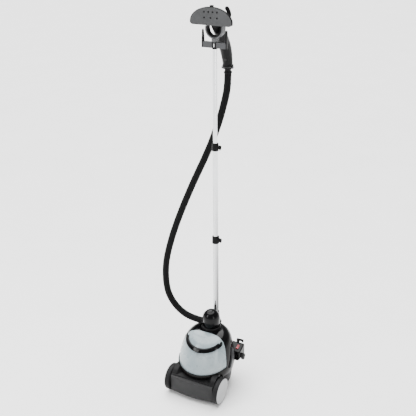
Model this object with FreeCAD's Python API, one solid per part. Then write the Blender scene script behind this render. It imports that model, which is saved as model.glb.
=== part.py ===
import FreeCAD, Part
import math
import os
from FreeCAD import Vector

# Upright garment steamer, in millimetres.
# X runs across the machine, -Y is its front, +Z is up. The origin is on the floor, in the
# mid-plane, half way between the wheel axle and the pole.

os.makedirs("parts", exist_ok=True)

# ---------------------------------------------------------------- driving dimensions
X, Y, Z = Vector(1, 0, 0), Vector(0, 1, 0), Vector(0, 0, 1)
WALL = 3.0
GAP = 0.4  # free space between pieces that move past each other
FIT = 0.05  # radial clearance of a running fit

# Oval outline of the base at several heights: height, front, rear, half width.
BODY = [
    (14, -104, 112, 92),
    (30, -111, 116, 101),
    (60, -113, 117, 106),
    (118, -117, 118.5, 113),
    (160, -101, 119, 110),
    (200, -77, 118, 101),
    (228, -53, 112.5, 86),
    (240, -30, 104, 70),
    (246, -2, 98, 50),
]
TRAY_BOTTOM, TRAY_TOP = 14, 48
RING_LOW, RING_TOP, RING_PEAK, SEAT_FLOOR = 90, 116, 129, 96
LIP_IN, LIP_OUT = 1.2, 3.6  # the lip's faces, outwards from the body's form
LEDGE, TANK_BOTTOM = 105, 105.6  # top of the ring's ledge, underside of the tank on it
BODY_TOP = 246
SEAM = [(-36, 100), (-17, 183), (6, 250)]  # side view of the joint behind the tank: y, z

WHEEL_RADIUS, WHEEL_WIDTH, WHEEL_OUT, HUB_CAP = 55, 25, 124, 4
AXLE_Y, AXLE_RADIUS = -96, 4
DECK_HALF_WIDTH, DECK_FRONT = 97, -134

POLE_Y = 95
LOWER_RADIUS, MIDDLE_RADIUS, UPPER_RADIUS, TUBE_WALL = 11, 9.5, 8, 1.1
LOWER_COUPLER_Z, UPPER_COUPLER_Z, POLE_TOP = 636, 1030, 1432
TUBE_OVERLAP = 62  # length of each tube that stays inside the one below

DOME_Y, DOME_RADIUS, DOME_TOP = 50, 33.5, 328
PORT_Z, PORT_END = 264, -40
BOILER_Y, BOILER_RADIUS = 42, 28

CRADLE_Z, CRADLE_RADIUS, CRADLE_WALL, LINER = 1472, 35, 5, 3.5
CRADLE_FRONT, CRADLE_REAR = 88, 112
BAR_LOW, BAR_HIGH, BAR_HALF, PRONG_TOP = 1404, 1425, 49, 1467

HEAD_WIDE, HEAD_HIGH, HEAD_Z, HEAD_FRONT = 80, 51, 1499, 62
PLATE_THICK = 4
PIVOT = Vector(0, 206, 1312)
BALL_RADIUS = 16
HOSE_RADIUS = 14
# Wand centreline in the mid-plane: y, z, outer radius of the handle there.
WAND = [
    (88, 1511, 18.5),
    (112, 1482, 20),
    (150, 1437, 21.5),
    (179, 1396, 22.3),
    (196, 1358, 20.8),
    (204.5, 1324.5, 18.8),
]

# The hose's route from the wand's cuff to the outlet dome.
HOSE = [
    (0, 206, 1288),
    (0, 206, 1238),
    (-9, 194, 1174),
    (-27, 178, 1090),
    (-60, 156, 985),
    (-121, 124, 836),
    (-180, 92, 668),
    (-211, 70, 540),
    (-217, 57, 465),
    (-210, 50, 382),
    (-189, 50, 328),
    (-148, 50, 286),
    (-96, 50, 264),
    (-40, 50, 264),
]


# ---------------------------------------------------------------- helpers
def export(name, shape):
    """Write one node as its own STEP file."""
    if not shape.isValid() or shape.Volume <= 0:
        raise ValueError(f"{name} isn't a sound solid")
    shape.exportStep(f"parts/{name}.step")


def cylinder(x, y, z, radius, length, axis=Z):
    return Part.makeCylinder(radius, length, Vector(x, y, z), axis)


def box(x0, x1, y0, y1, z0, z1):
    return Part.makeBox(x1 - x0, y1 - y0, z1 - z0, Vector(x0, y0, z0))


def pipe_z(y, z0, z1, outer, inner, x=0):
    """Upright tube."""
    return cylinder(x, y, z0, outer, z1 - z0).cut(cylinder(x, y, z0 - 1, inner, z1 - z0 + 2))


def revolve(profile, x, y):
    """Solid of revolution about the upright line through x, y; profile is (radius, z)."""
    points = [Vector(x + r, y, z) for r, z in profile]
    face = Part.Face(Part.makePolygon(points + points[:1]))
    return face.revolve(Vector(x, y, 0), Z, 360)


def side_prism(outline, x0, x1):
    """Solid whose side view is the outline of (y, z) points."""
    points = [Vector(x0, y, z) for y, z in outline]
    return Part.Face(Part.makePolygon(points + points[:1])).extrude(Vector(x1 - x0, 0, 0))


def fuse(first, *others):
    return first.fuse(list(others)).removeSplitter()


def group(*solids):
    """Identical separate pieces kept in one node."""
    return Part.Compound(list(solids))


def both_sides(solid):
    return solid, solid.mirror(Vector(0, 0, 0), X)


def closed_curve(points):
    curve = Part.BSplineCurve()
    curve.interpolate(Points=points, PeriodicFlag=True)
    return Part.Wire([curve.toShape()])


def oval(z, grow):
    """The base's outline at height z, moved outwards by grow."""
    for low, high in zip(BODY, BODY[1:]):
        if low[0] <= z <= high[0]:
            share = (z - low[0]) / (high[0] - low[0])
            front, rear, half = (a + (b - a) * share for a, b in zip(low[1:], high[1:]))
    middle, depth = (front + rear) / 2, (rear - front) / 2 + grow
    turns = [2 * math.pi * i / 16 for i in range(16)]
    return closed_curve(
        [Vector((half + grow) * math.cos(a), middle + depth * math.sin(a), z) for a in turns]
    )


def body(z0, z1, grow=0.0):
    """The base's solid form between two heights."""
    heights = [z0] + [row[0] for row in BODY if z0 + 1 < row[0] < z1 - 1] + [z1]
    return Part.makeLoft([oval(z, grow) for z in heights], True, False)


def behind_seam(shift):
    """Everything behind the tank's rear face, moved back by shift."""
    low, middle, high = (Vector(-200, y + shift, z) for y, z in SEAM)
    edges = [Part.Arc(low, middle, high).toShape()]
    corners = [high, Vector(-200, 200, high.z), Vector(-200, 200, low.z), low]
    edges += [Part.makeLine(a, b) for a, b in zip(corners, corners[1:])]
    return Part.Face(Part.Wire(edges)).extrude(Vector(400, 0, 0))


# ---------------------------------------------------------------- base
SCREWS = [(-62, -40), (62, -40), (-48, 48), (48, 48)]
FEET, FOOT_RADIUS = [(-52, 74), (52, 74)], 10
VALVE_Y = -60
GLAND_X, GLAND_Z, GLAND_BORE = -45, 78, 4


def base_tray():
    pan = body(TRAY_BOTTOM, TRAY_TOP).cut(body(TRAY_BOTTOM + WALL, TRAY_TOP + 1, -WALL))
    for x, y in SCREWS:
        pan = pan.cut(cylinder(x, y, 10, 2, 10))
    return pan


def seat_ring():
    """Band between the tray and the ring that the tank sits in."""
    band = body(TRAY_TOP, RING_LOW).cut(body(TRAY_TOP - 1, RING_LOW + 1, -WALL))
    return band.cut(cylinder(GLAND_X, 80, GLAND_Z, 7, 50, Y))


def ring_lip():
    """Ring with a ledge for the tank and the housing, and a lip that rises beside the tank."""
    solid = body(RING_LOW, RING_PEAK + 1, LIP_OUT)
    ring = solid.cut(body(RING_LOW - 1, LEDGE + 1, -WALL)).cut(body(LEDGE, BODY_TOP, LIP_IN))
    above = [(-160, RING_TOP), (-117, RING_TOP), (-38, RING_PEAK), (-30, RING_PEAK), (-16, RING_TOP)]
    above += [(160, RING_TOP), (160, RING_PEAK + 5), (-160, RING_PEAK + 5)]
    wheel_room = cylinder(WHEEL_OUT - WHEEL_WIDTH - 1, AXLE_Y, WHEEL_RADIUS, WHEEL_RADIUS + 1, 40, X)
    for room in both_sides(wheel_room):
        ring = ring.cut(room)
    return ring.cut(side_prism(above, -160, 160))


def seat_floor():
    """Shelf inside the ring, with the hole of the water inlet."""
    shelf = body(SEAT_FLOOR, SEAT_FLOOR + WALL, -WALL - FIT)
    return shelf.cut(box(-130, 130, 2, 140, 80, 110)).cut(cylinder(0, VALVE_Y, 80, 11, 30))


def rear_housing():
    outer = body(LEDGE, BODY_TOP).common(behind_seam(0))
    inner = body(LEDGE - 1, BODY_TOP - WALL, -WALL).common(behind_seam(WALL))
    steam_hole = cylinder(0, DOME_Y, 200, 8, 80)
    pole_hole = cylinder(0, POLE_Y, 200, LOWER_RADIUS + 0.1, 80)
    return outer.cut(inner).cut(pole_hole).cut(steam_hole)


POD_SLOPE = math.degrees(math.atan2(20, 54))
ROCKER_PIVOT = Vector(117, 62, 170.4)
KNOB_Y, KNOB_Z, POD_FACE = 64, 130, 136


def pod_form():
    """Rounded lobe on the right rear of the housing, with a sloping top."""
    low = RING_TOP + 0.2
    lobe = side_prism([(38, low), (92, low), (92, 182), (38, 162)], 80, POD_FACE)
    along = [e for e in lobe.Edges if e.BoundBox.XLength > 50]
    lobe = lobe.makeFillet(9, along)
    rim = [e for e in lobe.Edges if e.BoundBox.XMin > POD_FACE - 0.1]
    lobe = lobe.makeFillet(5, rim)
    corner = [Vector(x, 0, z) for x, z in ((108, 100), (140, 134), (140, 100), (108, 100))]
    return lobe.cut(Part.Face(Part.makePolygon(corner)).extrude(Vector(0, 120, 0)))


def tilt_to_slope(shape):
    """Lay a piece made about the origin on the pod's sloping top."""
    shape.rotate(Vector(0, 0, 0), X, POD_SLOPE)
    shape.translate(ROCKER_PIVOT)
    return shape


def control_pod():
    opening = tilt_to_slope(box(-5.3, 5.3, -11.3, 11.3, -10, 12))
    return pod_form().cut(body(LEDGE, BODY_TOP)).cut(opening)


def power_rocker():
    """Two-ended rocker that tips about X, shown with its rear end pressed."""
    shape = side_prism([(-10, -4), (10, -4), (10, 3.5), (0, 1.5), (-10, 3.5)], -4.8, 4.8)
    shape.rotate(Vector(0, 0, 0), X, -6)
    return tilt_to_slope(shape)


def deck_cover():
    """Cover between the wheels, with a fender shoulder at each end."""
    outline = [(DECK_FRONT, 24), (DECK_FRONT, 88), (-128, 95), (-40, 106), (-40, 24)]
    hollow = [(-131, 23.5), (-131, 86.5), (-126, 91.8), (-39, 102.8), (-39, 23.5)]
    shape = side_prism(outline, -DECK_HALF_WIDTH, DECK_HALF_WIDTH)
    inside = side_prism(hollow, -94, 94)
    shoulder = fuse(Part.makeCone(38, 55, 24, Vector(52, -82, 62), X), cylinder(76, -82, 62, 55, 21, X))
    shoulder = shoulder.common(box(50, 100, -134, -40, 60, 130))
    shape = fuse(shape, *both_sides(shoulder)).cut(inside)
    blocks = both_sides(box(68, 96, AXLE_Y - 9, AXLE_Y + 9, WHEEL_RADIUS - 9, WHEEL_RADIUS + 9))
    axle_hole = cylinder(-130, AXLE_Y, WHEEL_RADIUS, AXLE_RADIUS, 260, X)
    floor = box(-95, 95, -132, -60, 24, 27)
    shape = fuse(shape, floor, *blocks).cut(axle_hole).cut(body(14, 130, LIP_OUT + 0.3))
    return shape.cut(body(RING_LOW, RING_PEAK + 1, LIP_OUT + 0.3))


def front_bumper():
    half, back = 95.5, DECK_FRONT
    left, right = Vector(-half, -138, 20), Vector(half, -138, 20)
    edges = [
        Part.Arc(left, Vector(0, -148, 20), right).toShape(),
        Part.makeLine(right, Vector(half, back, 20)),
        Part.makeLine(Vector(half, back, 20), Vector(-half, back, 20)),
        Part.makeLine(Vector(-half, back, 20), left),
    ]
    plate = Part.Face(Part.Wire(edges)).extrude(Vector(0, 0, 73))
    rims = [e for e in plate.Edges if e.BoundBox.YMin < -140 and e.BoundBox.ZLength < 1]
    return plate.makeFillet(2.5, rims)


def side_trim():
    """Grey blade on the flank, proud of the housing and narrower towards its top."""
    low = RING_TOP + GAP
    strip = body(LEDGE, BODY_TOP, 6.5).cut(body(LEDGE, BODY_TOP, 3 * FIT))
    outline = [(-14, low), (28, low), (36, 140), (33, 176), (26, 190), (20, 176), (4, 145)]
    return strip.common(side_prism(outline, 60, 130))


def outlet_dome():
    """Steam outlet with the hose port on its left."""
    arch = [(0, DOME_TOP)]
    centre = DOME_TOP - DOME_RADIUS
    for step in range(1, 13):
        a = math.radians(90 - 7.5 * step)
        arch.append((DOME_RADIUS * math.cos(a), centre + DOME_RADIUS * math.sin(a)))
    outer = revolve(arch + [(DOME_RADIUS, BODY_TOP), (0, BODY_TOP)], 0, DOME_Y)
    port = cylinder(PORT_END, DOME_Y, PORT_Z, 17, 20, X)
    void = cylinder(0, DOME_Y, BODY_TOP + 2.5, DOME_RADIUS - 3, centre - BODY_TOP - 2.5)
    cap = Part.makeSphere(DOME_RADIUS - 3, Vector(0, DOME_Y, centre))
    bore = cylinder(PORT_END - 1, DOME_Y, PORT_Z, 9, 20, X)
    inlet = cylinder(0, DOME_Y, BODY_TOP - 1, 8, 6)
    return fuse(outer, port).cut(void).cut(cap).cut(bore).cut(inlet)


def outlet_collar():
    ring = revolve([(33.6, 246), (41, 246), (41, 249.5), (38, 253), (33.6, 255)], 0, DOME_Y)
    ring = ring.cut(cylinder(PORT_END - 10, DOME_Y, PORT_Z, 17.05, 30, X))
    return ring.cut(cylinder(0, POLE_Y, 240, LOWER_RADIUS + 0.1, 30))


def pole_boot():
    """Tapered sleeve round the foot of the pole, beside the dome."""
    inner = LOWER_RADIUS + 0.1
    side = [(inner, BODY_TOP), (24, BODY_TOP), (19, 256), (15.5, 272), (13.5, 298), (inner, 300)]
    boot = revolve(side, 0, POLE_Y).cut(cylinder(0, DOME_Y, 240, DOME_RADIUS + 0.1, 120))
    return boot.cut(cylinder(0, DOME_Y, 240, 41.1, 16))


def boiler():
    pot = fuse(
        cylinder(0, BOILER_Y, 70, BOILER_RADIUS, 74),
        cylinder(0, BOILER_Y, 144, 20, 8),
        cylinder(-34, BOILER_Y, 78, 5, 20, X),
    )
    room = cylinder(0, BOILER_Y, 75, BOILER_RADIUS - 4, 65)
    return pot.cut(room).cut(cylinder(0, DOME_Y, 130, 6, 40))


def heating_element():
    coil = Part.makeTorus(BOILER_RADIUS + 4, 3.5, Vector(0, BOILER_Y, 92), Z)
    upper = Part.makeTorus(BOILER_RADIUS + 4, 3.5, Vector(0, BOILER_Y, 112), Z)
    return group(coil, upper)


def mains_gland():
    """Strain relief of the mains cord: a barrel through the wall and a flange outside it."""
    barrel = cylinder(GLAND_X, 84, GLAND_Z, 7, 34, Y)
    flange = cylinder(GLAND_X, 98, GLAND_Z, 10, 14, Y).cut(body(TRAY_TOP, RING_LOW, FIT))
    flange = flange.cut(cylinder(GLAND_X, 97, GLAND_Z, 6.5, 16, Y))
    return fuse(barrel, flange).cut(cylinder(GLAND_X, 80, GLAND_Z, GLAND_BORE, 50, Y))


def cord_hook():
    """Upper hook on the pod for winding the mains cord."""
    stem = box(102, 112, 83, 91, 170, 192)
    arm = box(102, 131, 83, 91, 188, 194)
    lip = box(126, 131, 83, 91, 184, 191)
    return fuse(stem, arm, lip).cut(pod_form())


def knob(x, y, z, radius, depth, grip):
    """Ribbed turning knob with its axis along X and a raised pointer across its face."""
    disc = cylinder(x, y, z, radius, depth, X)
    for i in range(10):
        a = 2 * math.pi * i / 10
        disc = disc.cut(
            cylinder(x - 1, y + radius * math.cos(a), z + radius * math.sin(a), 1.3, depth + 2, X)
        )
    pointer = box(x + depth - 0.5, x + depth + 2, y - 1.6, y + 1.6, z - grip, z + grip)
    return fuse(disc, pointer)


def base_fittings():
    export("base_tray", base_tray())
    export("seat_ring", seat_ring())
    export("ring_lip", ring_lip())
    export("seat_floor", seat_floor())
    export("rear_housing", rear_housing())
    export("deck_cover", deck_cover())
    export("front_bumper", front_bumper())
    export("side_trims", group(*both_sides(side_trim())))
    export("control_pod", control_pod())
    export("power_rocker", power_rocker())
    export("steam_knob", knob(POD_FACE + GAP, KNOB_Y, KNOB_Z, 13, 9, 10))
    export("cord_hook", cord_hook())
    export("outlet_dome", outlet_dome())
    export("outlet_collar", outlet_collar())
    export("pole_boot", pole_boot())
    export("mains_gland", mains_gland())
    export("boiler", boiler())
    export("heating_element", heating_element())
    floor = TRAY_BOTTOM + WALL
    low, high = BOILER_Y - 6, BOILER_Y + 6
    legs = [box(x, x + 4, low, high, floor, 66) for x in (-40, 36)]
    export("boiler_bracket", fuse(box(-40, 40, low, high, 66, 70), *legs))
    cutout = cylinder(10, BOILER_Y - 12, 152, 7, 6)
    export("thermostat", fuse(cutout, box(4, 16, BOILER_Y - 10, BOILER_Y - 5, 152, 156)))
    export("steam_outlet_tube", pipe_z(DOME_Y, 152, BODY_TOP + 20, 6, 4.5))
    cup = [(3, 62), (5, 62), (5, 84), (11, 84), (11, 99), (14, 99)]
    cup += [(14, 100.8), (8, 100.8), (8, 90), (3, 90)]
    export("water_inlet_seat", revolve(cup, 0, VALVE_Y))
    export("terminal_block", box(-76, -46, 20, 42, floor, 38))
    export("pole_socket", pipe_z(POLE_Y, floor, 225, LOWER_RADIUS + 3, LOWER_RADIUS))
    pin = cylinder(70, AXLE_Y, WHEEL_RADIUS, AXLE_RADIUS, WHEEL_OUT - 73, X)
    export("axle_pins", group(*both_sides(pin)))
    feet = [cylinder(x, y, 0, FOOT_RADIUS, TRAY_BOTTOM) for x, y in FEET]
    export("rear_feet", group(*feet))
    screws = [fuse(cylinder(x, y, 11.5, 3.6, 2.5), cylinder(x, y, 13, 2, 12)) for x, y in SCREWS]
    export("base_screws", group(*screws))


def wheels():
    inner = WHEEL_OUT - WHEEL_WIDTH
    tyre = cylinder(inner, AXLE_Y, WHEEL_RADIUS, WHEEL_RADIUS, WHEEL_WIDTH - HUB_CAP, X)
    rims = [e for e in tyre.Edges if e.Length > 100]
    tyre = tyre.makeFillet(2.5, rims)
    bore = cylinder(inner - 1, AXLE_Y, WHEEL_RADIUS, AXLE_RADIUS + FIT, 40, X)
    tyre = tyre.cut(bore)
    face = WHEEL_OUT - HUB_CAP
    cap = cylinder(face, AXLE_Y, WHEEL_RADIUS, WHEEL_RADIUS - 2.5, HUB_CAP, X)
    cap = cap.makeFillet(2.5, [e for e in cap.Edges if e.BoundBox.XMin > WHEEL_OUT - 0.1])
    cap = cap.cut(cylinder(face - 1, AXLE_Y, WHEEL_RADIUS, AXLE_RADIUS + 1, 2.5, X))
    for name, pair in (("tyre", both_sides(tyre)), ("hub_cap", both_sides(cap))):
        export(f"{name}_right", pair[0])
        export(f"{name}_left", pair[1])


# ---------------------------------------------------------------- tank
BAIL_Y, BAIL_Z, BAIL_SLOPE, BAIL_HALF = -16, 226, 18, 4.5
BAIL_PIN, BAIL_FACE = 2.5, 74
CAP_RADIUS = 20


def tank_shell():
    outer = body(TANK_BOTTOM, BODY_TOP, -1).cut(behind_seam(-GAP))
    room = body(TANK_BOTTOM + WALL, BODY_TOP - WALL, -1 - WALL).cut(behind_seam(-GAP - WALL))
    mouth = cylinder(0, VALVE_Y, TANK_BOTTOM - 1, 16.5, 10)
    for pad in both_sides(cylinder(BAIL_FACE - 8, BAIL_Y, BAIL_Z, 11.5, 30, X)):
        room = room.cut(pad)
    shell = outer.cut(room).cut(mouth)
    for recess in both_sides(cylinder(BAIL_FACE, BAIL_Y, BAIL_Z, 9, 30, X)):
        shell = shell.cut(recess)
    ear = cylinder(BAIL_FACE - 7, BAIL_Y, BAIL_Z, 6, 7, X)
    shell = fuse(shell, *both_sides(ear))
    for hole in both_sides(cylinder(BAIL_FACE - 5.5, BAIL_Y, BAIL_Z, BAIL_PIN, 9, X)):
        shell = shell.cut(hole)
    return shell


def tank_bail():
    """Carry handle: a hoop that lies round the tank's shoulder, with a pin at each end."""
    slab = box(-110, 110, -100, -3, -BAIL_HALF, BAIL_HALF)
    slab.rotate(Vector(0, 0, 0), X, BAIL_SLOPE)
    slab.translate(Vector(0, BAIL_Y, BAIL_Z))
    hoop = body(150, BODY_TOP, 4.5).cut(body(149, BODY_TOP, 0.8)).common(slab)
    hoop = hoop.cut(cylinder(-BAIL_FACE - 0.3, BAIL_Y, BAIL_Z, 8.5, 2 * BAIL_FACE + 0.6, X))
    tab = box(-7, 7, -74, -60, -1, 3)
    tab.rotate(Vector(0, 0, 0), X, BAIL_SLOPE)
    tab.translate(Vector(0, BAIL_Y, BAIL_Z))
    pin = cylinder(BAIL_FACE - 5.2, BAIL_Y, BAIL_Z, BAIL_PIN - FIT, 8, X)
    eye = cylinder(BAIL_FACE + 0.3, BAIL_Y, BAIL_Z, 6.5, 5.7, X)
    return fuse(hoop, tab.cut(body(150, BODY_TOP, 2)), *both_sides(pin), *both_sides(eye))


def tank_pieces():
    export("tank_shell", tank_shell())
    export("tank_bail", tank_bail())
    neck = cylinder(0, VALVE_Y, TANK_BOTTOM - 0.6, CAP_RADIUS - 6, 9)
    cap = fuse(neck, cylinder(0, VALVE_Y, 101.3, CAP_RADIUS, 4))
    for i in range(8):
        a = 2 * math.pi * i / 8
        x, y = CAP_RADIUS * math.cos(a), VALVE_Y + CAP_RADIUS * math.sin(a)
        cap = cap.cut(cylinder(x, y, 101, 2, 3.5))
    export("tank_cap", cap.cut(cylinder(0, VALVE_Y, 100, 3 + FIT, 20)))
    stem = cylinder(0, VALVE_Y, 98, 3, 24)
    export("valve_plunger", fuse(stem, cylinder(0, VALVE_Y, 119, 6, 3)))


# ---------------------------------------------------------------- pole
def coupler(z, outer, inner, tube_below):
    """Clamp between two tubes; the lower half grips the wider tube, the upper half guides."""
    sleeve = cylinder(0, POLE_Y, z - 15, outer, 30)
    boss = box(outer - 3, outer + 3.5, POLE_Y - 6, POLE_Y + 6, z - 6, z + 6)
    crown = [e for e in sleeve.Edges if e.BoundBox.ZMin > z + 14 and e.Length > 20]
    shape = fuse(sleeve.makeChamfer(2, crown), boss)
    shape = shape.cut(cylinder(0, POLE_Y, z - 16, tube_below, 19))
    return shape.cut(cylinder(0, POLE_Y, z - 20, inner + FIT, 40)).cut(
        cylinder(outer - 2, POLE_Y, z, 2, 8, X)
    )


def clamp_knob(z, outer):
    shape = knob(outer + 3.9, POLE_Y, z, 7.5, 6, 7)
    wing = box(outer + 4.5, outer + 9, POLE_Y - 2, POLE_Y + 2, z - 11, z)
    stud = cylinder(outer - 1.5, POLE_Y, z, 2 - FIT, 6, X)
    return fuse(shape, wing, stud)


def pole():
    tubes = (
        ("lower_tube", 21, LOWER_COUPLER_Z + 3, LOWER_RADIUS),
        ("middle_tube", LOWER_COUPLER_Z - TUBE_OVERLAP, UPPER_COUPLER_Z + 3, MIDDLE_RADIUS),
        ("upper_tube", UPPER_COUPLER_Z - TUBE_OVERLAP, POLE_TOP, UPPER_RADIUS),
    )
    for name, low, high, radius in tubes:
        export(name, pipe_z(POLE_Y, low, high, radius, radius - TUBE_WALL))
    export("lower_coupler", coupler(LOWER_COUPLER_Z, 14.5, MIDDLE_RADIUS, LOWER_RADIUS))
    export("upper_coupler", coupler(UPPER_COUPLER_Z, 13, UPPER_RADIUS, MIDDLE_RADIUS))
    export("lower_clamp_knob", clamp_knob(LOWER_COUPLER_Z, 14.5))
    export("upper_clamp_knob", clamp_knob(UPPER_COUPLER_Z, 13))


# ---------------------------------------------------------------- pole top
def half_ring(outer, inner, y0, y1, arm):
    """U in the XZ plane, open at the top, with straight arms of the given height."""
    length = y1 - y0
    ring = cylinder(0, y0, CRADLE_Z, outer, length, Y)
    ring = ring.cut(cylinder(0, y0 - 1, CRADLE_Z, inner, length + 2, Y))
    ring = ring.common(box(-50, 50, y0 - 2, y1 + 2, CRADLE_Z - 50, CRADLE_Z))
    arms = both_sides(box(inner, outer, y0, y1, CRADLE_Z, CRADLE_Z + arm))
    return fuse(ring, *arms)


def cradle():
    yoke = half_ring(CRADLE_RADIUS, CRADLE_RADIUS - CRADLE_WALL, CRADLE_FRONT, CRADLE_REAR, 8)
    stem_top = CRADLE_Z - CRADLE_RADIUS + 1.5
    stem = cylinder(0, POLE_Y, BAR_HIGH + 1, 10.5, stem_top - BAR_HIGH - 1)
    web = box(-10, 10, CRADLE_FRONT + 1, CRADLE_REAR - 2, 1430, 1441)
    web = web.cut(cylinder(0, CRADLE_FRONT, CRADLE_Z, CRADLE_RADIUS - 1, 40, Y))
    seat = cylinder(0, POLE_Y, BAR_HIGH, UPPER_RADIUS, POLE_TOP - BAR_HIGH)
    return fuse(yoke, stem, web).cut(seat)


def hanger():
    """Swivelling bar with an upright prong at each end, on a hub that turns on the tube."""
    hub = cylinder(0, POLE_Y, BAR_LOW, 10.5, BAR_HIGH - BAR_LOW + 0.6)
    bore = cylinder(0, POLE_Y, BAR_LOW - 10, UPPER_RADIUS + FIT, 60)
    window = box(-2.6, 2.6, POLE_Y - 12, POLE_Y, BAR_LOW + 3, BAR_HIGH - 4)
    export("hanger_hub", hub.cut(bore).cut(window))
    wing = box(-BAR_HALF, BAR_HALF, CRADLE_FRONT + 0.5, POLE_Y + 6, BAR_LOW, BAR_HIGH)
    groove = box(-BAR_HALF + 5, BAR_HALF - 5, POLE_Y, POLE_Y + 8, BAR_LOW + 3, BAR_HIGH - 3)
    export("hanger_bar", group(*wing.cut(groove).cut(cylinder(0, POLE_Y, 1390, 10.5, 60)).Solids))
    side = [(89, BAR_HIGH), (101, BAR_HIGH), (97, PRONG_TOP - 1), (95, PRONG_TOP), (93, PRONG_TOP - 1)]
    prong = side_prism(side, BAR_HALF - 6, BAR_HALF)
    inner_edge = [(BAR_HALF - 6, 1424), (BAR_HALF - 3.4, PRONG_TOP + 1)]
    front = [Vector(x, 80, z) for x, z in inner_edge + [(BAR_HALF, 1468), (BAR_HALF, 1424)]]
    taper = Part.Face(Part.makePolygon(front + front[:1])).extrude(Vector(0, 30, 0))
    export("hanger_prongs", group(*both_sides(prong.common(taper))))
    export("hanger_clip", pipe_z(POLE_Y, BAR_LOW - 3.4, BAR_LOW - 0.4, 9.6, UPPER_RADIUS))


def pole_top():
    export("cradle", cradle())
    inner = CRADLE_RADIUS - CRADLE_WALL
    liner = half_ring(inner, inner - LINER, CRADLE_FRONT + 0.5, CRADLE_REAR - 0.5, 6)
    export("cradle_liner", liner)
    hanger()
    ball = Part.makeSphere(BALL_RADIUS, PIVOT)
    x, y, z = PIVOT
    neck = cylinder(x, y, z - 20, 12.4, 12)
    ferrule = cylinder(x, y, z - 24, 14.6, 7)
    cuff = fuse(ball, neck, ferrule).cut(cylinder(x, y, z - 30, 8, 60))
    export("hose_cuff", cuff.cut(cylinder(-20, y, z, 4 + FIT, 40, X)))


# ---------------------------------------------------------------- wand
def wand_form(shrink):
    """Handle and neck: circles across the centreline, shrunk by the given amount."""
    rings = []
    for i, (y, z, radius) in enumerate(WAND):
        before, after = WAND[max(i - 1, 0)], WAND[min(i + 1, len(WAND) - 1)]
        along = Vector(0, after[0] - before[0], after[1] - before[1])
        rings.append(Part.Wire([Part.makeCircle(radius - shrink, Vector(0, y, z), along)]))
    return Part.makeLoft(rings, True, False)


def head_outline(y, share, lift=0.0):
    """D-shaped outline across the head: flat underside, domed top."""
    points = []
    for i in range(28):
        a = 2 * math.pi * i / 28
        c, s = math.cos(a), math.sin(a)
        wide = HEAD_WIDE * (c if s > -1e-9 else math.copysign(abs(c) ** 0.45, c))
        high = HEAD_HIGH * s if s > 0 else -11 * abs(s) ** 0.45
        points.append(Vector(wide * share, y, HEAD_Z + lift + high * share))
    return closed_curve(points)


def steam_plate():
    points = [(-70, -11), (70, -11), (77, -8), (HEAD_WIDE, 0)]
    base = [Vector(x, y, 0) for x, y in points]
    top = Part.ArcOfEllipse(Part.Ellipse(Vector(0, 0, 0), HEAD_WIDE, HEAD_HIGH), 0, math.pi)
    edges = [
        Part.makeLine(base[0], base[1]),
        Part.Arc(base[1], base[2], base[3]).toShape(),
        top.toShape(),
        Part.Arc(Vector(-HEAD_WIDE, 0, 0), Vector(-77, -8, 0), base[0]).toShape(),
    ]
    plate = Part.Face(Part.Wire(edges)).extrude(Vector(0, 0, -PLATE_THICK))
    plate.rotate(Vector(0, 0, 0), X, 90)
    plate.translate(Vector(0, HEAD_FRONT, HEAD_Z))
    for x in (-25, -8.3, 8.3, 25):
        plate = plate.cut(cylinder(x, HEAD_FRONT - 1, HEAD_Z + 35, 3.2, 9, Y))
    for x in (-25, 0, 25):
        plate = plate.cut(cylinder(x, HEAD_FRONT - 1, HEAD_Z + 15, 3.2, 9, Y))
    return plate


def head_form(shrink=0.0, depth=34):
    """Outer or inner form of the head's shell, narrowing from the plate to the neck."""
    back = HEAD_FRONT + PLATE_THICK - (1 if shrink else 0)
    rings = [
        head_outline(back, 1 - shrink),
        head_outline(back + 14, 0.95 - shrink),
        head_outline(back + depth, 0.5 - 1.5 * shrink, 8),
    ]
    return Part.makeLoft(rings, True, True)


def head_shell():
    shell = head_form().cut(head_form(0.04, 32))
    return shell.cut(wand_form(0)).cut(latch_form(0.3))


def latch_form(grow=0.0):
    return box(-6 - grow, 6 + grow, 68 - grow, 77 + grow, 1538, 1556)


def wand():
    export("steam_plate", steam_plate())
    export("head_shell", head_shell())
    hollow = wand_form(0).cut(wand_form(2.6)).cut(button_form(0.3))
    x, y, z = PIVOT
    hollow = hollow.cut(cylinder(x, y, z - 5, 21, 13))
    hollow = hollow.cut(Part.makeSphere(BALL_RADIUS + GAP, PIVOT))
    export("handle_shell_right", hollow.common(box(0, 60, 50, 260, 1250, 1600)))
    export("handle_shell_left", hollow.common(box(-60, 0, 50, 260, 1250, 1600)))
    heights = (-5, -3, -1, 1, 3, 5, 7, 8)
    socket = [(math.sqrt((BALL_RADIUS + GAP) ** 2 - h * h), z + h) for h in heights]
    ring = revolve(socket + [(21, z + 8), (21, z - 5)], x, y)
    ring.rotate(PIVOT, Z, 90)
    export("wand_collar", ring.cut(cylinder(-30, y, z, 4, 60, X)))
    export("pivot_pins", group(*both_sides(cylinder(11, y, z, 4, 14, X))))
    export("wand_hook", wand_hook())
    tube_rings = []
    for i, (ty, tz, _) in enumerate(WAND[:-1]):
        before, after = WAND[max(i - 1, 0)], WAND[i + 1]
        along = Vector(0, after[0] - before[0], after[1] - before[1])
        tube_rings.append(Part.Wire([Part.makeCircle(6, Vector(0, ty, tz), along)]))
    export("wand_steam_tube", Part.makeLoft(tube_rings, True, False))
    export("steam_button", button_form(0))
    export("attachment_latch", latch_form())


def button_form(grow):
    """Button low on the front of the handle, that slides in along Y."""
    return cylinder(0, 178, 1345, 6 + grow, 12, Y)


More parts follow.
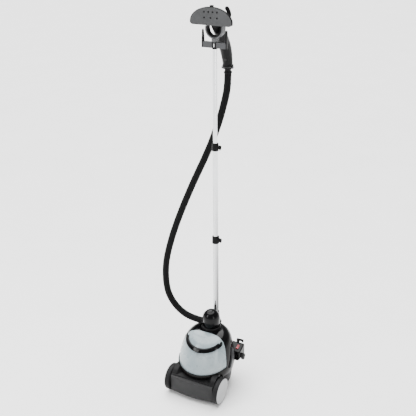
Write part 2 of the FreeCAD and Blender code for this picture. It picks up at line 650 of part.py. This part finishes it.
def wand_hook():
    """Finger that rises from the head's right shoulder and leans inwards."""
    line = [(58, 86, 1508), (60, 96, 1526), (50, 100, 1541), (41, 101, 1549)]
    points = [Vector(*p) for p in line]
    pieces = [Part.makeSphere(6.2, p) for p in points]
    for a, b in zip(points, points[1:]):
        pieces.append(Part.makeCylinder(6.2, a.distanceToPoint(b), a, b.sub(a)))
    finger = fuse(pieces[0], *pieces[1:]).cut(head_form())
    return max(finger.Solids, key=lambda solid: solid.Volume)


# ---------------------------------------------------------------- hose
def hose():
    """Straight runs joined by tangent arcs; prints the arcs' radii."""
    points = [Vector(*p) for p in HOSE]
    edges, start, radii = [], points[0], []
    for before, corner, after in zip(points, points[1:], points[2:]):
        back, ahead = before.sub(corner), after.sub(corner)
        shorter = min(back.Length, ahead.Length)
        turn = math.pi - back.getAngle(ahead)
        reach = 0.45 * shorter
        radius = reach / math.tan(turn / 2)
        radii.append(round(radius))
        back.normalize()
        ahead.normalize()
        first, last = corner + back * reach, corner + ahead * reach
        inward = (back + ahead).normalize()
        middle = corner + inward * (math.hypot(radius, reach) - radius)
        edges.append(Part.LineSegment(start, first).toShape())
        edges.append(Part.Arc(first, middle, last).toShape())
        start = last
    edges.append(Part.LineSegment(start, points[-1]).toShape())
    path = Part.Wire(edges)
    profile = Part.Wire([Part.makeCircle(HOSE_RADIUS, points[0], points[1].sub(points[0]))])
    tube = path.makePipeShell([profile], True, True)
    ratio = tube.Volume / (math.pi * HOSE_RADIUS**2 * path.Length)
    print("hose radii", radii, "length", round(path.Length), "volume ratio", round(ratio, 4))
    return tube


base_fittings()
wheels()
tank_pieces()
pole()
pole_top()
wand()
export("hose", hose())
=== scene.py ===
import math

import bmesh
import bpy
from mathutils import Matrix, Vector


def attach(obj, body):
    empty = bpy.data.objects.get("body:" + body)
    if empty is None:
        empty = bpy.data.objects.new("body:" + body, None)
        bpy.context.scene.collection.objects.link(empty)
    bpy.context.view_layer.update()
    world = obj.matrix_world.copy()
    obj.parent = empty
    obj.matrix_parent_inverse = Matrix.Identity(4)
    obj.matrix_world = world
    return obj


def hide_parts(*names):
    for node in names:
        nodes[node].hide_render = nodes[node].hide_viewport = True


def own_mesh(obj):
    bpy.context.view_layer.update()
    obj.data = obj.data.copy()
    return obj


# Looks of the upright garment steamer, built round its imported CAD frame. Metres throughout.
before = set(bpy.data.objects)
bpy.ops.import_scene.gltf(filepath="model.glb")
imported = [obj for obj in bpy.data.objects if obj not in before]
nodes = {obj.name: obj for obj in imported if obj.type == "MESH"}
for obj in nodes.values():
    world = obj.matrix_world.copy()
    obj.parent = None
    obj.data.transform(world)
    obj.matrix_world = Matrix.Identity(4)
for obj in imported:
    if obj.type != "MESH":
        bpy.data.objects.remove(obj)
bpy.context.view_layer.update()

# ---------------------------------------------------------------- camera
HEADING, PITCH, ROLL = math.radians(26.83), math.radians(24.72), -0.0096
CAMERA_PLACE = Vector((1.1305, -2.2058, 1.9549))
SENSOR_MM, LENS_MM = 36, 62.007
forward = Vector((
    -math.sin(HEADING) * math.cos(PITCH),
    math.cos(HEADING) * math.cos(PITCH),
    -math.sin(PITCH),
))
level = Vector((math.cos(HEADING), math.sin(HEADING), 0))
upright = level.cross(forward)
side = level * math.cos(ROLL) + upright * math.sin(ROLL)
up = upright * math.cos(ROLL) - level * math.sin(ROLL)
camera_data = bpy.data.cameras.new("camera")
camera_data.sensor_width = SENSOR_MM
camera_data.lens = LENS_MM
camera = bpy.data.objects.new("camera", camera_data)
camera.matrix_world = Matrix((
    (side.x, up.x, -forward.x, CAMERA_PLACE.x),
    (side.y, up.y, -forward.y, CAMERA_PLACE.y),
    (side.z, up.z, -forward.z, CAMERA_PLACE.z),
    (0, 0, 0, 1),
))
bpy.context.scene.collection.objects.link(camera)
bpy.context.scene.camera = camera


# ---------------------------------------------------------------- mesh helpers
def link(name, data):
    obj = bpy.data.objects.new(name, data)
    bpy.context.scene.collection.objects.link(obj)
    return obj


def finish_mesh(name, bm, sharp=35):
    bmesh.ops.recalc_face_normals(bm, faces=bm.faces)
    mesh = bpy.data.meshes.new(name)
    bm.to_mesh(mesh)
    bm.free()
    for polygon in mesh.polygons:
        polygon.use_smooth = True
    mesh.set_sharp_from_angle(angle=math.radians(sharp))
    return link(name, mesh)


def bridge(bm, rings, closed=False):
    """Faces between neighbouring rings of vertices; a closed run joins its last ring to its first."""
    after = rings[1:] + rings[:1] if closed else rings[1:]
    turns = len(rings[0])
    for low, high in zip(rings, after):
        for i in range(turns):
            bm.faces.new((low[i], low[(i + 1) % turns], high[(i + 1) % turns], high[i]))
    if not closed:
        bm.faces.new(rings[0][::-1])
        bm.faces.new(rings[-1])


def lathe(name, profile, origin, axis, turns=96, wave=None, bored=False):
    """Solid of revolution; profile is (distance along the axis, radius), wave reshapes the radius.

    A bored one has a profile that closes on itself, so it's a ring.
    """
    axis = Vector(axis).normalized()
    first = axis.orthogonal().normalized()
    second = axis.cross(first)
    bm = bmesh.new()
    rings = []
    for along, radius in profile:
        ring = []
        for i in range(turns):
            angle = 2 * math.pi * i / turns
            r = radius if wave is None else wave(along, radius, angle)
            spoke = first * math.cos(angle) + second * math.sin(angle)
            ring.append(bm.verts.new(Vector(origin) + axis * along + spoke * r))
        rings.append(ring)
    bridge(bm, rings, closed=bored)
    return finish_mesh(name, bm)


def resample(points, step):
    """The same line, as points an equal distance apart."""
    lengths = [0.0]
    for a, b in zip(points, points[1:]):
        lengths.append(lengths[-1] + (b - a).length)
    count = max(2, round(lengths[-1] / step))
    out, k = [], 0
    for i in range(count + 1):
        want = lengths[-1] * i / count
        while k < len(points) - 2 and lengths[k + 1] < want:
            k += 1
        share = (want - lengths[k]) / max(lengths[k + 1] - lengths[k], 1e-9)
        out.append(points[k].lerp(points[k + 1], min(max(share, 0), 1)))
    return out


def smooth_line(points, rounds):
    """The same line with its corners cut, a few times over."""
    for _ in range(rounds):
        cut = [points[0]]
        for a, b in zip(points, points[1:]):
            cut += [a.lerp(b, 0.25), a.lerp(b, 0.75)]
        points = cut + [points[-1]]
    return points


def sweep(name, path, radius, turns=48):
    """Tube along path, shaped by radius(distance, angle); its UV map holds turn and metres along."""
    bm = bmesh.new()
    uv = bm.loops.layers.uv.new("UVMap")
    tangent = (path[1] - path[0]).normalized()
    first = tangent.orthogonal().normalized()
    rings, distance = [], 0.0
    for k, point in enumerate(path):
        if k:
            distance += (point - path[k - 1]).length
        here = (path[min(k + 1, len(path) - 1)] - path[max(k - 1, 0)]).normalized()
        first = (tangent.rotation_difference(here) @ first)
        first = (first - here * first.dot(here)).normalized()
        tangent = here
        second = here.cross(first)
        ring = []
        for i in range(turns):
            angle = 2 * math.pi * i / turns
            spoke = first * math.cos(angle) + second * math.sin(angle)
            ring.append(bm.verts.new(point + spoke * radius(distance, angle)))
        rings.append((distance, ring))
    for (d0, low), (d1, high) in zip(rings, rings[1:]):
        for i in range(turns):
            face = bm.faces.new((low[i], low[(i + 1) % turns], high[(i + 1) % turns], high[i]))
            for loop, place in zip(face.loops, ((i, d0), (i + 1, d0), (i + 1, d1), (i, d1))):
                loop[uv].uv = (place[0] / turns, place[1])
    bm.faces.new(rings[0][1][::-1])
    bm.faces.new(rings[-1][1])
    return finish_mesh(name, bm, 60)


# ---------------------------------------------------------------- materials
class Nodes:
    """A new material with its Principled shader."""

    def __init__(self, name):
        self.material = bpy.data.materials.new(name)
        self.material.use_nodes = True
        self.tree = self.material.node_tree
        self.shader = next(n for n in self.tree.nodes if n.type == "BSDF_PRINCIPLED")
        self.coordinates = self.tree.nodes.new("ShaderNodeTexCoord")

    def set(self, **values):
        for name, value in values.items():
            self.shader.inputs[name.replace("_", " ")].default_value = value

    def add(self, kind, **values):
        node = self.tree.nodes.new(kind)
        for name, value in values.items():
            if name in node.inputs:
                node.inputs[name].default_value = value
            else:
                setattr(node, name, value)
        return node

    def join(self, out, into):
        self.tree.links.new(out, into)

    def noise(self, scale, detail=3.0, stretch=(1, 1, 1)):
        mapping = self.add("ShaderNodeMapping")
        mapping.inputs["Scale"].default_value = stretch
        self.join(self.coordinates.outputs["Object"], mapping.inputs["Vector"])
        noise = self.add("ShaderNodeTexNoise", Scale=scale, Detail=detail)
        self.join(mapping.outputs["Vector"], noise.inputs["Vector"])
        return noise.outputs["Fac"]

    def ramp(self, source, *stops):
        """Colour ramp from stops of (position, colour)."""
        ramp = self.add("ShaderNodeValToRGB")
        elements = ramp.color_ramp.elements
        while len(elements) < len(stops):
            elements.new(0.5)
        for element, (place, colour) in zip(elements, stops):
            element.position = place
            element.color = (*colour, 1)
        self.join(source, ramp.inputs["Fac"])
        return ramp.outputs["Color"]

    def span(self, source, low, high, start=0.3, end=0.7):
        node = self.add("ShaderNodeMapRange")
        for name, value in (("From Min", start), ("From Max", end), ("To Min", low), ("To Max", high)):
            node.inputs[name].default_value = value
        self.join(source, node.inputs["Value"])
        return node.outputs["Result"]

    def math(self, operation, first, second):
        """Arithmetic on a socket and another socket or a number."""
        node = self.add("ShaderNodeMath", operation=operation)
        self.join(first, node.inputs[0])
        if isinstance(second, (int, float)):
            node.inputs[1].default_value = second
        else:
            self.join(second, node.inputs[1])
        return node.outputs[0]

    def parts(self, coordinate):
        """X, Y and Z sockets of the given texture coordinate."""
        split = self.add("ShaderNodeSeparateXYZ")
        self.join(self.coordinates.outputs[coordinate], split.inputs["Vector"])
        return split.outputs

    def colour(self, socket):
        self.join(socket, self.shader.inputs["Base Color"])

    def rough(self, socket):
        self.join(socket, self.shader.inputs["Roughness"])

    def relief(self, *layers, edge=0.0):
        """Bumps of (height source, strength, depth), one over another, on an optional rounded edge."""
        normal = None
        if edge:
            bevel = self.add("ShaderNodeBevel", samples=4)
            bevel.inputs["Radius"].default_value = edge
            normal = bevel.outputs["Normal"]
        for source, strength, depth in layers:
            bump = self.add("ShaderNodeBump", Strength=strength, Distance=depth)
            self.join(source, bump.inputs["Height"])
            if normal is not None:
                self.join(normal, bump.inputs["Normal"])
            normal = bump.outputs["Normal"]
        self.join(normal, self.shader.inputs["Normal"])


def shade(colour, share):
    return tuple(min(1.0, c * share) for c in colour)


FINE_DEPTH, SOFT_DEPTH, LINE_DEPTH = 0.00012, 0.0006, 0.00006
MOULDED_EDGE, METAL_EDGE = 0.0008, 0.0005


def plastic(name, colour, rough, spread, grain, grain_scale, specular, coat=0.0, vary=0.12):
    """Moulded plastic: slight colour drift, uneven gloss, fine grain and softened edges."""
    m = Nodes(name)
    m.set(Specular_IOR_Level=specular, Coat_Weight=coat, Coat_Roughness=0.06)
    drift = m.noise(14, 4)
    m.colour(m.ramp(drift, (0.3, shade(colour, 1 - vary)), (0.7, shade(colour, 1 + vary))))
    m.rough(m.span(m.noise(38, 5), rough - spread, rough + spread))
    fine = (m.noise(grain_scale, 2), grain, FINE_DEPTH)
    m.relief(fine, (m.noise(22, 2), 0.08, SOFT_DEPTH), edge=MOULDED_EDGE)
    return m.material


def metal(name, colour, rough, scratch=0.12, scale=900):
    """Plain or cast metal with fine marks."""
    m = Nodes(name)
    m.set(Metallic=1.0)
    lines = m.noise(scale, 4)
    m.colour(m.ramp(lines, (0.3, shade(colour, 0.9)), (0.7, shade(colour, 1.06))))
    m.rough(m.span(m.noise(30, 4), rough * 0.8, rough * 1.25))
    m.relief((lines, scratch, LINE_DEPTH), edge=METAL_EDGE)
    return m.material


FLANK_START, FLANK_END, FLANK_SHADE = 0.7, 0.6, 0.06


def drawn_tube(name, colour, foot, head, centre_y, across, radius):
    """Bright drawn tube, painted duller down the side that across points to, most at its foot.

    The direction comes from the camera's heading, so this is shade painted for the camera's viewing
    side, a painted reflection of the black base. It is fixed to the tube and doesn't follow another view.
    """
    m = Nodes(name)
    m.set(Metallic=1.0)
    lines = m.noise(900, 4, (1, 1, 0.02))
    bright = m.ramp(lines, (0.3, shade(colour, 0.9)), (0.7, shade(colour, 1.06)))
    x, y, z = m.parts("Object")
    aside = m.math("ADD", m.math("MULTIPLY", x, across.x), m.math("MULTIPLY", y, across.y))
    middle = centre_y * across.y
    flank = m.span(aside, 0, 1, middle - FLANK_START * radius, middle + FLANK_END * radius)
    low = m.span(z, 1, 0, foot, head)
    mix = m.add("ShaderNodeMix", data_type="RGBA")
    m.join(m.math("MULTIPLY", flank, low), mix.inputs["Factor"])
    m.join(bright, mix.inputs["A"])
    mix.inputs["B"].default_value = (*shade(colour, FLANK_SHADE), 1)
    m.colour(mix.outputs["Result"])
    m.rough(m.span(m.noise(30, 4), 0.19, 0.30))
    m.relief((lines, 0.12, LINE_DEPTH), edge=METAL_EDGE)
    return m.material


def weave(name, dark, light, around=44, along=210):
    """Braided sleeve: two sets of slanting strands that pass over each other."""
    m = Nodes(name)
    m.set(Roughness=0.62, Specular_IOR_Level=0.07, Sheen_Weight=0.015, Sheen_Roughness=0.5)
    x, y, _ = m.parts("UV")
    strands = []
    for lean in (1, -1):
        across = m.math("MULTIPLY", x, around * 2 * math.pi)
        down = m.math("MULTIPLY", y, lean * along * 2 * math.pi)
        strand = m.add("ShaderNodeMath", operation="SINE")
        m.join(m.math("ADD", across, down), strand.inputs[0])
        strands.append(strand.outputs[0])
    thread = m.span(m.math("MULTIPLY", *strands), 0, 1, -1, 1)
    height = m.math("ADD", m.math("MULTIPLY", m.noise(1600, 3), 0.35), thread)
    # Strand pattern with painted shade: the colour follows the braid's height, darker in the grooves
    # between the strands.
    m.colour(m.ramp(height, (0.25, dark), (0.95, light)))
    m.relief((height, 0.7, SOFT_DEPTH))
    return m.material


def frosted(name, dull, middle, pale):
    """Smoky translucent tank wall, clouded and streaked by moulding flow."""
    m = Nodes(name)
    m.set(
        IOR=1.46,
        Coat_Weight=0.35,
        Coat_Roughness=0.10,
        Transmission_Weight=0.1,
        Specular_IOR_Level=0.35,
    )
    m.colour(m.ramp(m.noise(9, 4, (1.6, 1.6, 0.5)), (0.25, dull), (0.5, middle), (0.75, pale)))
    m.rough(m.span(m.noise(25, 4), 0.2, 0.34))
    ripple = m.noise(16, 2, (1.5, 1.5, 0.6))
    m.relief((m.noise(420, 3), 0.12, 0.0002), (ripple, 0.12, 0.0012), edge=0.001)
    return m.material


BLACK = plastic("gloss_black", (0.0022, 0.0022, 0.0025), 0.10, 0.03, 0.03, 500, vary=0.1, specular=0.14)
DARK = plastic("dark_satin", (0.0035, 0.0035, 0.0038), 0.38, 0.07, 0.2, 1100, specular=0.07)
DECK = plastic("deck_satin", (0.0040, 0.0040, 0.0042), 0.34, 0.07, 0.28, 1000, specular=0.09)
BUMPER = plastic("bumper_grey", (0.022, 0.022, 0.0225), 0.46, 0.06, 0.35, 1200, specular=0.12)
RING = plastic("ring_black", (0.0042, 0.0038, 0.0036), 0.20, 0.05, 0.1, 700, specular=0.12)
TRIM = plastic("trim_grey", (0.050, 0.051, 0.053), 0.32, 0.05, 0.12, 900, specular=0.2)
YOKE = plastic("yoke_grey", (0.085, 0.086, 0.089), 0.38, 0.05, 0.18, 900, specular=0.15)
BAR = plastic("bar_grey", (0.060, 0.061, 0.064), 0.42, 0.06, 0.2, 1000, specular=0.15)
HUB = plastic("hub_grey", (0.34, 0.343, 0.347), 0.40, 0.05, 0.15, 900, specular=0.3)
HANDLE = plastic("handle_black", (0.0040, 0.0040, 0.0043), 0.34, 0.06, 0.3, 1100, specular=0.09)
RUBBER = plastic("rubber_black", (0.004, 0.004, 0.004), 0.66, 0.08, 0.35, 700, specular=0.08)
TYRE = plastic("tyre_grey", (0.010, 0.010, 0.0104), 0.55, 0.07, 0.35, 900, specular=0.10)
RED = plastic("rocker_red", (0.24, 0.010, 0.020), 0.22, 0.04, 0.05, 600, coat=0.2, vary=0.15, specular=0.2)
PLATE = plastic("plate_grey", (0.050, 0.051, 0.0525), 0.45, 0.06, 0.3, 1500, specular=0.15)
TANK = frosted("tank_frosted", (0.19, 0.245, 0.27), (0.27, 0.325, 0.345), (0.37, 0.42, 0.435))
# The last two numbers are the heights where the pole tube's painted shade is fullest and where it has
# faded out.
POLE_Y, POLE_RADIUS, PAINTED_SHADE_FROM, PAINTED_SHADE_TO = 0.095, 0.011, 0.27, 0.90
TUBE = drawn_tube("drawn_tube", (0.74, 0.75, 0.76), PAINTED_SHADE_FROM, PAINTED_SHADE_TO, POLE_Y, level, POLE_RADIUS)
STEEL = metal("plain_steel", (0.52, 0.53, 0.55), 0.32)
ALLOY = metal("cast_alloy", (0.60, 0.61, 0.62), 0.42, 0.3, 300)
BRASS = metal("plain_brass", (0.70, 0.54, 0.26), 0.3)
HOSE = weave("hose_weave", (0.0006, 0.0006, 0.0006), (0.0050, 0.0050, 0.0054))

FINISH = {
    BLACK: "rear_housing control_pod outlet_dome pole_boot tank_bail",
    DARK: "base_tray seat_ring seat_floor outlet_collar cord_hook terminal_block pole_socket lower_coupler"
    " upper_coupler lower_clamp_knob upper_clamp_knob tank_cap hanger_clip attachment_latch",
    DECK: "deck_cover",
    BUMPER: "front_bumper steam_button steam_knob",
    RING: "ring_lip",
    TRIM: "side_trims",
    YOKE: "cradle",
    BAR: "hanger_bar",
    HUB: "hub_cap_left hub_cap_right",
    HANDLE: "handle_shell_left handle_shell_right head_shell wand_hook wand_collar hose_cuff hanger_hub"
    " hanger_prongs cradle_liner",
    RUBBER: "rear_feet mains_gland water_inlet_seat",
    TYRE: "tyre_left tyre_right",
    RED: "power_rocker",
    PLATE: "steam_plate",
    TANK: "tank_shell",
    TUBE: "lower_tube middle_tube upper_tube",
    STEEL: "heating_element boiler_bracket thermostat axle_pins base_screws pivot_pins",
    ALLOY: "boiler steam_outlet_tube wand_steam_tube",
    BRASS: "valve_plunger",
    HOSE: "hose",
}


def paint(obj, material):
    obj.data.materials.clear()
    obj.data.materials.append(material)


for material, names in FINISH.items():
    for name in names.split():
        paint(nodes[name], material)


def new_piece(obj, material, body, slot, *replaced):
    paint(obj, material)
    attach(obj, body)
    if replaced:
        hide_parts(*replaced)
    return obj


# ---------------------------------------------------------------- hose
HOSE_RADIUS = 0.014
HOSE_ROUTE = [
    (0, 0.206, 1.288),
    (0, 0.206, 1.238),
    (-0.009, 0.194, 1.174),
    (-0.027, 0.178, 1.090),
    (-0.060, 0.156, 0.985),
    (-0.121, 0.124, 0.836),
    (-0.180, 0.092, 0.668),
    (-0.211, 0.070, 0.540),
    (-0.217, 0.057, 0.465),
    (-0.210, 0.050, 0.382),
    (-0.189, 0.050, 0.328),
    (-0.148, 0.050, 0.286),
    (-0.096, 0.050, 0.264),
    (-0.040, 0.050, 0.264),
]
route = bpy.data.curves.new("hose_route", "CURVE")
route.dimensions = "3D"
route.resolution_u = 24
spline = route.splines.new("NURBS")
spline.points.add(len(HOSE_ROUTE) - 1)
for point, place in zip(spline.points, HOSE_ROUTE):
    point.co = (*place, 1)
spline.order_u = 3
spline.use_endpoint_u = True
route_object = link("hose_route", route)
bpy.context.view_layer.update()
route_now = route_object.evaluated_get(bpy.context.evaluated_depsgraph_get())
line_mesh = bpy.data.meshes.new_from_object(route_now)
hose_line = [v.co.copy() for v in line_mesh.vertices]
bpy.data.objects.remove(route_object)
PATH_STEP, HOSE_TURNS = 0.0016, 88
hose_path = resample(hose_line, PATH_STEP)
STRANDS, PITCH_LENGTH, BRAID_DEPTH = 11, 0.019, 0.00025


def braid(distance, angle):
    """Radius of the sleeve: raised strands crossing both ways."""
    turn = 2 * math.pi * distance / PITCH_LENGTH
    crossing = math.sin(STRANDS * angle + turn) * math.sin(STRANDS * angle - turn)
    return HOSE_RADIUS - BRAID_DEPTH + BRAID_DEPTH * crossing


sleeve = sweep("hose_sleeve", hose_path, braid, HOSE_TURNS)
hose = new_piece(sleeve, HOSE, "base", "hose_fabric", "hose")
HOSE_TOP, PORT_Z = HOSE_ROUTE[0][2], HOSE_ROUTE[-1][2]
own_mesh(hose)

# ---------------------------------------------------------------- wheels
AXLE_Y, WHEEL_RADIUS, AXLE_BORE = -0.096, 0.055, 0.00405
TYRE_IN, TYRE_OUT, HUB_OUT = 0.0990, 0.1200, 0.1240
TREADS, TREAD_DEPTH, TREAD_EDGE = 72, 0.0003, 0.0008
TYRE_TURNS, HUB_TURNS = 288, 128


def tread(along, radius, angle):
    """Fine grooves across the tyre's running face."""
    if radius < WHEEL_RADIUS - TREAD_EDGE:
        return radius
    return radius - TREAD_DEPTH * max(0.0, math.cos(TREADS * angle)) ** 4


TYRE_PROFILE = [
    (TYRE_IN, AXLE_BORE), (TYRE_IN, 0.050), (TYRE_IN + 0.0008, 0.0530), (TYRE_IN + 0.0025, 0.0546),
    (TYRE_IN + 0.0045, WHEEL_RADIUS), (TYRE_OUT - 0.0050, WHEEL_RADIUS), (TYRE_OUT - 0.0026, 0.0548),
    (TYRE_OUT - 0.0009, 0.0540), (TYRE_OUT, 0.0527), (TYRE_OUT, AXLE_BORE),
]
HUB_PROFILE = [
    (TYRE_OUT, 0.0523), (TYRE_OUT + 0.0009, 0.0525), (TYRE_OUT + 0.0016, 0.0521),
    (TYRE_OUT + 0.0019, 0.0510), (TYRE_OUT + 0.0019, 0.0495), (TYRE_OUT + 0.0014, 0.0488),
    (TYRE_OUT + 0.0018, 0.0478), (TYRE_OUT + 0.0026, 0.0440), (TYRE_OUT + 0.0033, 0.0340),
    (HUB_OUT - 0.0002, 0.0200), (HUB_OUT, 0.0004),
]
for side_name, direction in (("left", -1), ("right", 1)):
    centre, axis, body = (0, AXLE_Y, WHEEL_RADIUS), (direction, 0, 0), f"wheel_{side_name}"
    tyre = lathe(f"tyre_ring_{side_name}", TYRE_PROFILE, centre, axis, TYRE_TURNS, tread, bored=True)
    new_piece(tyre, TYRE, body, "tyre_black", f"tyre_{side_name}")
    cap = lathe(f"hub_disc_{side_name}", HUB_PROFILE, centre, axis, HUB_TURNS)
    new_piece(cap, HUB, body, "hub_grey", f"hub_cap_{side_name}")

# ---------------------------------------------------------------- bands on the wand and hose
WAND_PIVOT_Y, COLLAR_FOOT, COLLAR_INNER = 0.206, 1.307, 0.0206


def band(name, foot, thick, inner, outer):
    """Thin upright ring with softened outer corners, round the hose's top."""
    soft = min(thick, outer - inner) * 0.3
    profile = [
        (foot, inner), (foot, outer - soft), (foot + soft, outer),
        (foot + thick - soft, outer), (foot + thick, outer - soft), (foot + thick, inner),
    ]
    return lathe(name, profile, (0, WAND_PIVOT_Y, 0), (0, 0, 1), bored=True)


flange = band("collar_flange", COLLAR_FOOT + 0.0006, 0.0042, COLLAR_INNER, 0.0243)
new_piece(flange, HANDLE, "wand", "head_black")
pale_band = band("collar_band", COLLAR_FOOT + 0.0048, 0.0016, COLLAR_INNER, 0.0228)
new_piece(pale_band, YOKE, "wand", "bar_grey")
RIB_COUNT, RIB_FOOT, RIB_STEP, RIB_THICK = 2, 0.0005, 0.0036, 0.0024
RIB_INNER, RIB_OUTER, RIB_TAPER = 0.0141, 0.0160, 0.0004
for rib in range(RIB_COUNT):
    foot = HOSE_TOP + RIB_FOOT + rib * RIB_STEP
    rib_ring = band(f"cuff_rib_{rib}", foot, RIB_THICK, RIB_INNER, RIB_OUTER - RIB_TAPER * rib)
    new_piece(rib_ring, HANDLE, "pole_top", "head_black")

# ---------------------------------------------------------------- rim of the head
HEAD_WIDE, HEAD_HIGH, HEAD_LOW, HEAD_Z = 0.080, 0.051, 0.011, 1.499
HEAD_CORNER = 0.45
RIM_PROFILE = [
    (0.0630, 1.004), (0.0628, 1.020), (0.0636, 1.030), (0.0650, 1.034),
    (0.0700, 1.032), (0.0790, 0.968), (0.0790, 0.945), (0.0668, 0.980),
]
RIM_TURNS = 144


def head_point(angle, share, y):
    """Point of the head's D-shaped outline."""
    c, s = math.cos(angle), math.sin(angle)
    if s > 0:
        return Vector((HEAD_WIDE * c * share, y, HEAD_Z + HEAD_HIGH * s * share))
    wide = math.copysign(abs(c) ** HEAD_CORNER, c)
    return Vector((HEAD_WIDE * wide * share, y, HEAD_Z - HEAD_LOW * abs(s) ** HEAD_CORNER * share))


rim_bm = bmesh.new()
rim_angles = [2 * math.pi * (i + 0.5) / RIM_TURNS for i in range(RIM_TURNS)]
rim_rings = [
    [rim_bm.verts.new(head_point(angle, share, y)) for angle in rim_angles] for y, share in RIM_PROFILE
]
bridge(rim_bm, rim_rings, closed=True)
new_piece(finish_mesh("head_rim", rim_bm), HANDLE, "wand", "head_black")

# ---------------------------------------------------------------- finger behind the head
FINGER_LINE = [
    Vector((0.0560, 0.086, 1.508)),
    Vector((0.0575, 0.096, 1.526)),
    Vector((0.0485, 0.100, 1.541)),
    Vector((0.0395, 0.101, 1.549)),
]
FINGER_RADIUS, FINGER_TIP, FINGER_STEP, FINGER_TURNS = 0.0074, 0.0006, 0.0010, 40
finger_path = resample(smooth_line(FINGER_LINE, 3), FINGER_STEP)
finger_length = sum((b - a).length for a, b in zip(finger_path, finger_path[1:]))


def finger_shape(distance, angle):
    """Radius of the finger, closed by a round tip."""
    left = finger_length - distance
    if left < FINGER_RADIUS:
        return max(FINGER_TIP, math.sqrt(max(0.0, FINGER_RADIUS**2 - (FINGER_RADIUS - left) ** 2)))
    return FINGER_RADIUS


finger = sweep("head_finger", finger_path, finger_shape, FINGER_TURNS)
new_piece(finger, HANDLE, "wand", "head_black", "wand_hook")

# ---------------------------------------------------------------- prongs of the hanger bar
# Height, then the low and high X and the low and high Y of each level.
PRONG_RINGS = [
    (1.4036, 0.0455, 0.0497, 0.0880, 0.1016), (1.4246, 0.0455, 0.0497, 0.0880, 0.1016),
    (1.4252, 0.0430, 0.0497, 0.0884, 0.1014), (1.4400, 0.0433, 0.0497, 0.0893, 0.1008),
    (1.4640, 0.0440, 0.0495, 0.0915, 0.0985), (1.4672, 0.0448, 0.0489, 0.0925, 0.0975),
    (1.4685, 0.0459, 0.0479, 0.0938, 0.0962),
]
PRONG_CORNER = 0.0007
prong_bm = bmesh.new()
for mirror in (-1, 1):
    rings = []
    for height, x0, x1, y0, y1 in PRONG_RINGS:
        c = PRONG_CORNER
        outline = [
            (x0 + c, y0), (x1 - c, y0), (x1, y0 + c), (x1, y1 - c),
            (x1 - c, y1), (x0 + c, y1), (x0, y1 - c), (x0, y0 + c),
        ]
        rings.append([prong_bm.verts.new((mirror * x, y, height)) for x, y in outline])
    bridge(prong_bm, rings)
new_piece(finish_mesh("prong_pair", prong_bm), HANDLE, "hanger", "head_black", "hanger_prongs")

# ---------------------------------------------------------------- rounded shell of the outlet dome
DOME_Y, DOME_TOP, DOME_BULGE, DOME_CORE = 0.050, 0.3283, 0.0365, 0.0337
DOME_STEPS, DOME_LAST, DOME_TURNS = 18, 88, 128
DOME_FOOT = [(0.2525, 0.0340), (0.2560, 0.0347), (0.2640, 0.0354), (0.2760, 0.0361)]
bulge_centre = DOME_TOP - DOME_BULGE
dome_profile = list(DOME_FOOT)
for step in range(DOME_STEPS + 1):
    lift = math.radians(step * DOME_LAST / DOME_STEPS)
    dome_profile.append((bulge_centre + DOME_BULGE * math.sin(lift), DOME_BULGE * math.cos(lift)))
turn_start = Vector((0, 0, 1)).orthogonal().normalized()
turn_side = Vector((0, 0, 1)).cross(turn_start)


NEAR_POLE, CLEAR_OF_POLE = 0.80, 0.25


def beside_pole(along, radius, angle):
    """Radius of the shell, held back where the pole stands behind it."""
    if radius <= DOME_CORE:
        return radius
    rearward = (turn_start * math.cos(angle) + turn_side * math.sin(angle)).y
    share = min(1.0, max(0.0, (NEAR_POLE - rearward) / (NEAR_POLE - CLEAR_OF_POLE)))
    share = share * share * (3 - 2 * share)
    return DOME_CORE + (radius - DOME_CORE) * share


dome = lathe("dome_shell", dome_profile, (0, DOME_Y, 0), (0, 0, 1), DOME_TURNS, beside_pole)
new_piece(dome, BLACK, "base", "black_body")

# ---------------------------------------------------------------- studio
FLOOR_HALF = 30
floor_bm = bmesh.new()
bmesh.ops.create_grid(floor_bm, x_segments=2, y_segments=2, size=FLOOR_HALF)
floor = finish_mesh("floor", floor_bm)
pale = Nodes("pale_floor")
pale.colour(pale.ramp(pale.noise(3, 3), (0.3, (0.93, 0.93, 0.93)), (0.7, (0.96, 0.96, 0.96))))
pale.set(Roughness=0.75)
paint(floor, pale.material)

# The world is brightest at the horizon, where it meets the pale floor.
WORLD_STRENGTH, HORIZON_STRENGTH = 0.35, 1.6
HORIZON_TOP, SKY_FOOT = 0.03, 0.30
world = bpy.data.worlds.new("studio")
world.use_nodes = True
sky_nodes = world.node_tree
background = sky_nodes.nodes["Background"]
background.inputs["Color"].default_value = (1, 1, 1, 1)
sky_place = sky_nodes.nodes.new("ShaderNodeTexCoord")
sky_parts = sky_nodes.nodes.new("ShaderNodeSeparateXYZ")
sky_range = sky_nodes.nodes.new("ShaderNodeMapRange")
sky_values = {
    "From Min": HORIZON_TOP,
    "From Max": SKY_FOOT,
    "To Min": HORIZON_STRENGTH,
    "To Max": WORLD_STRENGTH,
}
for name, value in sky_values.items():
    sky_range.inputs[name].default_value = value
sky_nodes.links.new(sky_place.outputs["Generated"], sky_parts.inputs["Vector"])
sky_nodes.links.new(sky_parts.outputs["Z"], sky_range.inputs["Value"])
sky_nodes.links.new(sky_range.outputs["Result"], background.inputs["Strength"])
bpy.context.scene.world = world


def softbox(name, place, target, size, power):
    light = bpy.data.lights.new(name, "AREA")
    light.shape = "RECTANGLE"
    light.size, light.size_y = size
    light.energy = power
    lamp = link(name, light)
    lamp.location = place
    lamp.rotation_euler = (Vector(target) - Vector(place)).to_track_quat("-Z", "Y").to_euler()


OVERHEAD_POWER, OVERHEAD_SPREAD, OVERHEAD_TILT = 9, 75, (-12, -14, 0)
overhead = bpy.data.lights.new("overhead", "SUN")
overhead.energy = OVERHEAD_POWER
overhead.angle = math.radians(OVERHEAD_SPREAD)
overhead_lamp = link("overhead", overhead)
overhead_lamp.rotation_euler = [math.radians(angle) for angle in OVERHEAD_TILT]
softbox("key", (-1.9, -2.4, 2.2), (0, 0, 0.5), (0.7, 1.6), 50)
softbox("fill", (2.4, -1.4, 1.3), (0, 0, 0.5), (0.5, 1.8), 20)
